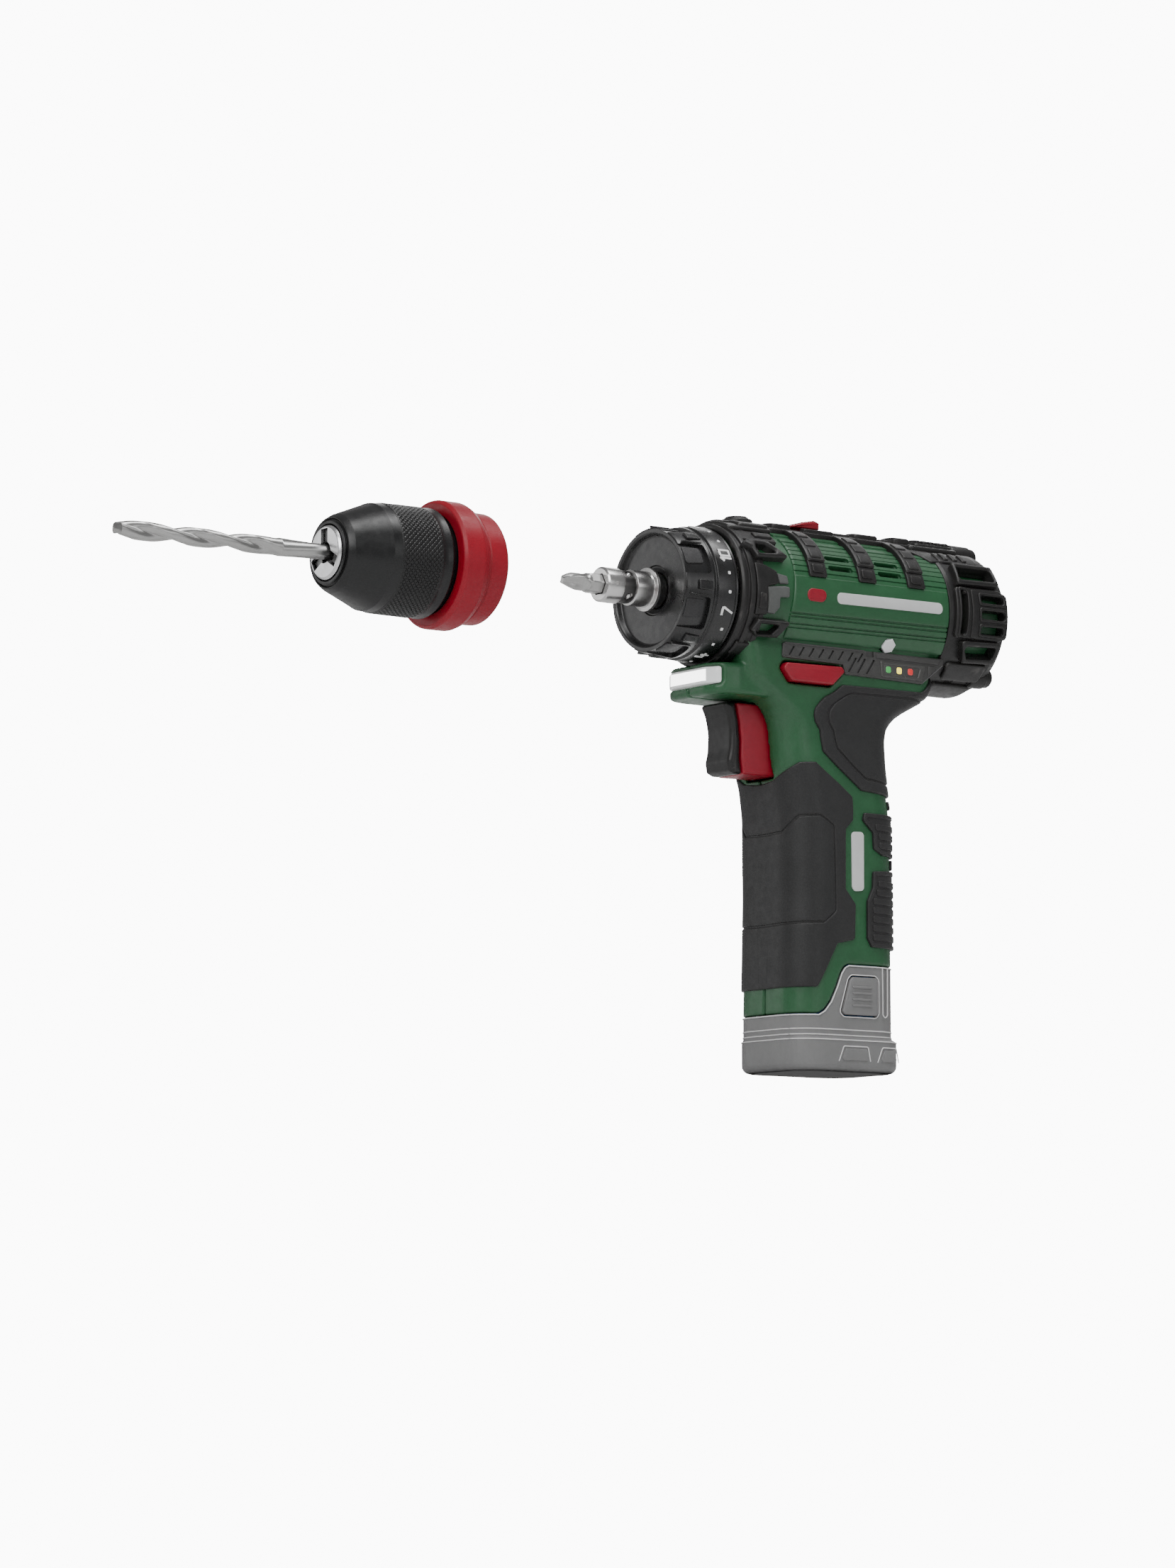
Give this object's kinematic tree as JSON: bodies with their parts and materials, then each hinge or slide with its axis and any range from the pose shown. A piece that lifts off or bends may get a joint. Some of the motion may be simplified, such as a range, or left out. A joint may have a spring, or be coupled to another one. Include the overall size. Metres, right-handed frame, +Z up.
{
  "type": "cordless drill",
  "caption": "Compact pistol-grip cordless drill with clutch collar, two-speed planetary gearbox, hex bit holder, slide-in battery and a quick-change keyless chuck pulled off the nose.",
  "frame": {"origin": "centre of the battery's flat underside", "axes": "+Z up; the nose points along -X; -Y is the tool's left side; the drill axis runs along X at z = 0.162 m"},
  "size_m": [0.354, 0.0526, 0.1908],
  "materials": {
    "green_housing": "satin moulded nylon, fine grain",
    "black_bumper": "soft matt overmould",
    "grip_rubber": "soft matt overmould",
    "black_collar": "semi-gloss black",
    "red_plastic": "satin crimson",
    "bright_steel": "satin ground steel",
    "dark_steel": "blackened steel",
    "chuck_metal": "satin machined alloy",
    "black_sleeve": "satin black nylon",
    "nylon": "natural glass-filled nylon",
    "bronze": "sintered bronze",
    "battery_grey": "satin mid grey",
    "cell_wrap": "shrink wrap",
    "light_lens": "lit clear lens",
    "indicator_window": "smoked window",
    "white_button": "satin white",
    "circuit_board": "solder mask"
  },
  "bodies": {
    "housing": {"housing_left": "green_housing", "housing_right": "green_housing", "housing_screw_1": "dark_steel", "housing_screw_2": "dark_steel", "housing_screw_3": "dark_steel", "housing_screw_4": "dark_steel", "nose_bumper": "black_bumper", "rear_bumper": "black_bumper", "bumper_screw_top": "dark_steel", "bumper_screw_left": "dark_steel", "bumper_screw_right": "dark_steel", "top_rail": "black_bumper", "grip_front_pad": "grip_rubber", "palm_rest": "grip_rubber", "grip_upper_pad": "grip_rubber", "grip_lower_pad": "grip_rubber", "gearbox_case": "nylon", "spindle_bearing_front": "bronze", "spindle_bearing_rear": "bronze", "clutch_spring": "bright_steel", "ring_gear": "nylon", "motor_can": "bright_steel", "motor_end_cap": "black_sleeve", "switch_module": "black_sleeve", "work_light_lens": "light_lens", "charge_indicator": "indicator_window", "control_board": "circuit_board", "contact_block": "black_bumper"},
    "collar": {"torque_collar": "black_collar"},
    "rotor": {"motor_armature": "dark_steel", "motor_pinion": "bright_steel"},
    "carrier": {"planet_carrier": "dark_steel"},
    "planet_1a": {"planet_1a": "bright_steel"},
    "planet_1b": {"planet_1b": "bright_steel"},
    "planet_1c": {"planet_1c": "bright_steel"},
    "planet_2a": {"planet_2a": "bright_steel"},
    "planet_2b": {"planet_2b": "bright_steel"},
    "planet_2c": {"planet_2c": "bright_steel"},
    "spindle": {"spindle": "bright_steel"},
    "bit": {"screwdriver_bit": "bright_steel"},
    "speed_selector": {"speed_selector": "red_plastic", "speed_ring_gear": "nylon"},
    "trigger": {"trigger": "red_plastic", "trigger_pad": "black_bumper"},
    "direction_selector": {"direction_selector": "red_plastic"},
    "charge_button": {"charge_button": "white_button"},
    "battery": {"battery_case": "battery_grey", "battery_cell_1": "cell_wrap", "battery_cell_2": "cell_wrap", "battery_cell_3": "cell_wrap", "battery_tower_cap": "battery_grey"},
    "battery_button_left": {"battery_button_left": "battery_grey"},
    "battery_button_right": {"battery_button_right": "battery_grey"},
    "chuck": {"chuck_body": "chuck_metal"},
    "chuck_sleeve": {"chuck_sleeve": "black_sleeve"},
    "chuck_jaw_1": {"chuck_jaw_1": "bright_steel"},
    "chuck_jaw_2": {"chuck_jaw_2": "bright_steel"},
    "chuck_jaw_3": {"chuck_jaw_3": "bright_steel"},
    "chuck_lock_ring": {"chuck_lock_ring": "red_plastic"},
    "twist_drill": {"twist_drill": "bright_steel"}
  },
  "joints": [
    {"name": "motor_spin", "type": "hinge", "parent": "housing", "child": "rotor", "pos_m": [0, 0, 0.162], "axis": [1, 0, 0], "continuous": true},
    {"name": "carrier_spin", "type": "hinge", "parent": "housing", "child": "carrier", "pos_m": [0, 0, 0.162], "axis": [1, 0, 0], "continuous": true},
    {"name": "spindle_spin", "type": "hinge", "parent": "housing", "child": "spindle", "pos_m": [0, 0, 0.162], "axis": [1, 0, 0], "continuous": true},
    {"name": "planet_1a_spin", "type": "hinge", "parent": "carrier", "child": "planet_1a", "pos_m": [0, 0.0102, 0.162], "axis": [1, 0, 0], "continuous": true},
    {"name": "planet_1b_spin", "type": "hinge", "parent": "carrier", "child": "planet_1b", "pos_m": [0, -0.0051, 0.17083], "axis": [1, 0, 0], "continuous": true},
    {"name": "planet_1c_spin", "type": "hinge", "parent": "carrier", "child": "planet_1c", "pos_m": [0, -0.0051, 0.15317], "axis": [1, 0, 0], "continuous": true},
    {"name": "planet_2a_spin", "type": "hinge", "parent": "spindle", "child": "planet_2a", "pos_m": [0, 0.0102, 0.162], "axis": [1, 0, 0], "continuous": true},
    {"name": "planet_2b_spin", "type": "hinge", "parent": "spindle", "child": "planet_2b", "pos_m": [0, -0.0051, 0.17083], "axis": [1, 0, 0], "continuous": true},
    {"name": "planet_2c_spin", "type": "hinge", "parent": "spindle", "child": "planet_2c", "pos_m": [0, -0.0051, 0.15317], "axis": [1, 0, 0], "continuous": true},
    {"name": "collar_turn", "type": "hinge", "parent": "housing", "child": "collar", "pos_m": [0, 0, 0.162], "axis": [1, 0, 0], "range_deg": [-222.9, 120]},
    {"name": "speed_shift", "type": "slide", "parent": "housing", "child": "speed_selector", "axis": [1, 0, 0], "range_m": [0, 0.003]},
    {"name": "trigger_pull", "type": "slide", "parent": "housing", "child": "trigger", "axis": [1, 0, 0], "range_m": [0, 0.006], "stiffness_N_per_m": 600, "springref_m": -0.004},
    {"name": "direction_shift", "type": "slide", "parent": "housing", "child": "direction_selector", "axis": [0, 1, 0], "range_m": [-0.0025, 0.0025]},
    {"name": "charge_button_press", "type": "slide", "parent": "housing", "child": "charge_button", "axis": [0, 0.8251, 0.565], "range_m": [0, 0.0007], "stiffness_N_per_m": 800, "springref_m": -0.0006},
    {"name": "battery_slide", "type": "slide", "parent": "housing", "child": "battery", "axis": [0, 0, -1], "range_m": [0, 0.07]},
    {"name": "battery_button_left_press", "type": "slide", "parent": "battery", "child": "battery_button_left", "axis": [0, 1, 0], "range_m": [0, 0.0012], "stiffness_N_per_m": 900, "springref_m": -0.001},
    {"name": "battery_button_right_press", "type": "slide", "parent": "battery", "child": "battery_button_right", "axis": [0, -1, 0], "range_m": [0, 0.0012], "stiffness_N_per_m": 900, "springref_m": -0.001},
    {"name": "bit_slide", "type": "slide", "parent": "spindle", "child": "bit", "axis": [1, 0, 0], "range_m": [-0.012, 0]},
    {"name": "chuck_slide", "type": "slide", "parent": "spindle", "child": "chuck", "axis": [1, 0, 0], "range_m": [0, 0.0718]},
    {"name": "chuck_sleeve_turn", "type": "hinge", "parent": "chuck", "child": "chuck_sleeve", "pos_m": [0, 0, 0.162], "axis": [1, 0, 0], "range_deg": [0, 720]},
    {"name": "chuck_jaw_1_slide", "type": "slide", "parent": "chuck", "child": "chuck_jaw_1", "axis": [0.9659, 0, 0.2588], "range_m": [0, 0.0038]},
    {"name": "chuck_jaw_2_slide", "type": "slide", "parent": "chuck", "child": "chuck_jaw_2", "axis": [0.9659, -0.2241, -0.1294], "range_m": [0, 0.0038]},
    {"name": "chuck_jaw_3_slide", "type": "slide", "parent": "chuck", "child": "chuck_jaw_3", "axis": [0.9659, 0.2241, -0.1294], "range_m": [0, 0.0038]},
    {"name": "lock_ring_slide", "type": "slide", "parent": "chuck", "child": "chuck_lock_ring", "axis": [1, 0, 0], "range_m": [-0.0015, 0], "stiffness_N_per_m": 1500, "springref_m": 0.001},
    {"name": "twist_drill_slide", "type": "slide", "parent": "chuck", "child": "twist_drill", "axis": [1, 0, 0], "range_m": [-0.025, 0]}
  ],
  "couplings": [
    {"joint": "carrier_spin", "follows": "motor_spin", "ratio": 0.25},
    {"joint": "spindle_spin", "follows": "motor_spin", "ratio": 0.0625},
    {"joint": "planet_1a_spin", "follows": "motor_spin", "ratio": -0.75},
    {"joint": "planet_1b_spin", "follows": "motor_spin", "ratio": -0.75},
    {"joint": "planet_1c_spin", "follows": "motor_spin", "ratio": -0.75},
    {"joint": "planet_2a_spin", "follows": "motor_spin", "ratio": -0.1875},
    {"joint": "planet_2b_spin", "follows": "motor_spin", "ratio": -0.1875},
    {"joint": "planet_2c_spin", "follows": "motor_spin", "ratio": -0.1875},
    {"joint": "chuck_jaw_1_slide", "follows": "chuck_sleeve_turn", "m_per_rad": 0.0003},
    {"joint": "chuck_jaw_2_slide", "follows": "chuck_sleeve_turn", "m_per_rad": 0.0003},
    {"joint": "chuck_jaw_3_slide", "follows": "chuck_sleeve_turn", "m_per_rad": 0.0003}
  ]
}
